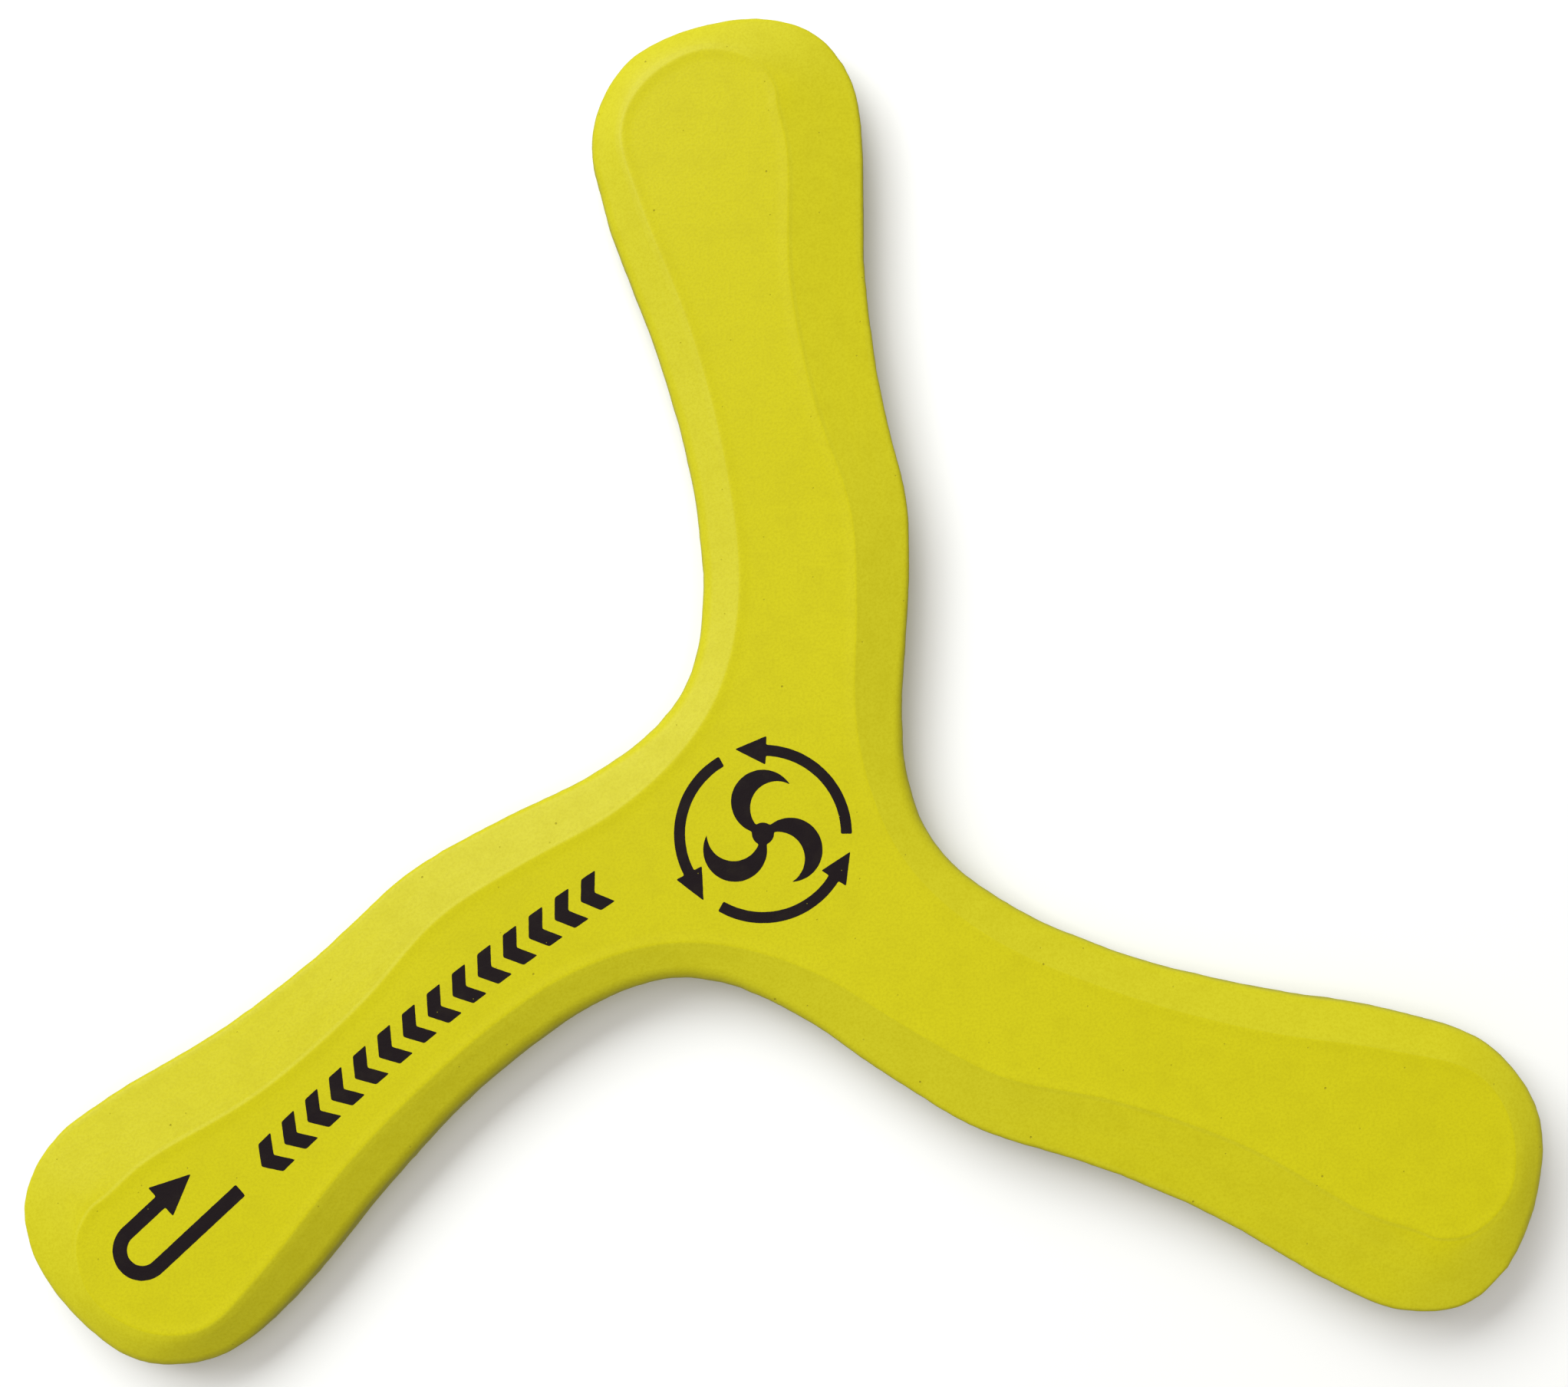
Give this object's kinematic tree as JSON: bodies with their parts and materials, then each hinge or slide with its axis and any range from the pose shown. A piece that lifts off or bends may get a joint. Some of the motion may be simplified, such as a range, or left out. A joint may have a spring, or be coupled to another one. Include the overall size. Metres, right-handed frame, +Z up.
{
  "type": "three-bladed foam boomerang",
  "caption": "Soft foam returning boomerang with three swept blades, a flat top bevelled all round, a flat underside and black printed marks.",
  "frame": {"origin": "where the spin axis meets the flat underside, at the middle of the hub", "axes": "+Z up out of the printed top along the spin axis; +Y along one plain blade, whose tip is about a degree off it; +X to the right seen from above, so the printed blade points to -X and -Y"},
  "size_m": [0.2718, 0.2473, 0.0122],
  "materials": {
    "foam": "matt closed-cell foam with a fine moulded skin, yellow",
    "ink": "thin pad-printed film, warm black, satin"
  },
  "bodies": {
    "root": {"foam_body": "foam", "spin_arrows": "ink", "hub_pinwheel": "ink", "blade_chevrons": "ink", "tip_return_arrow": "ink"}
  },
  "joints": []
}
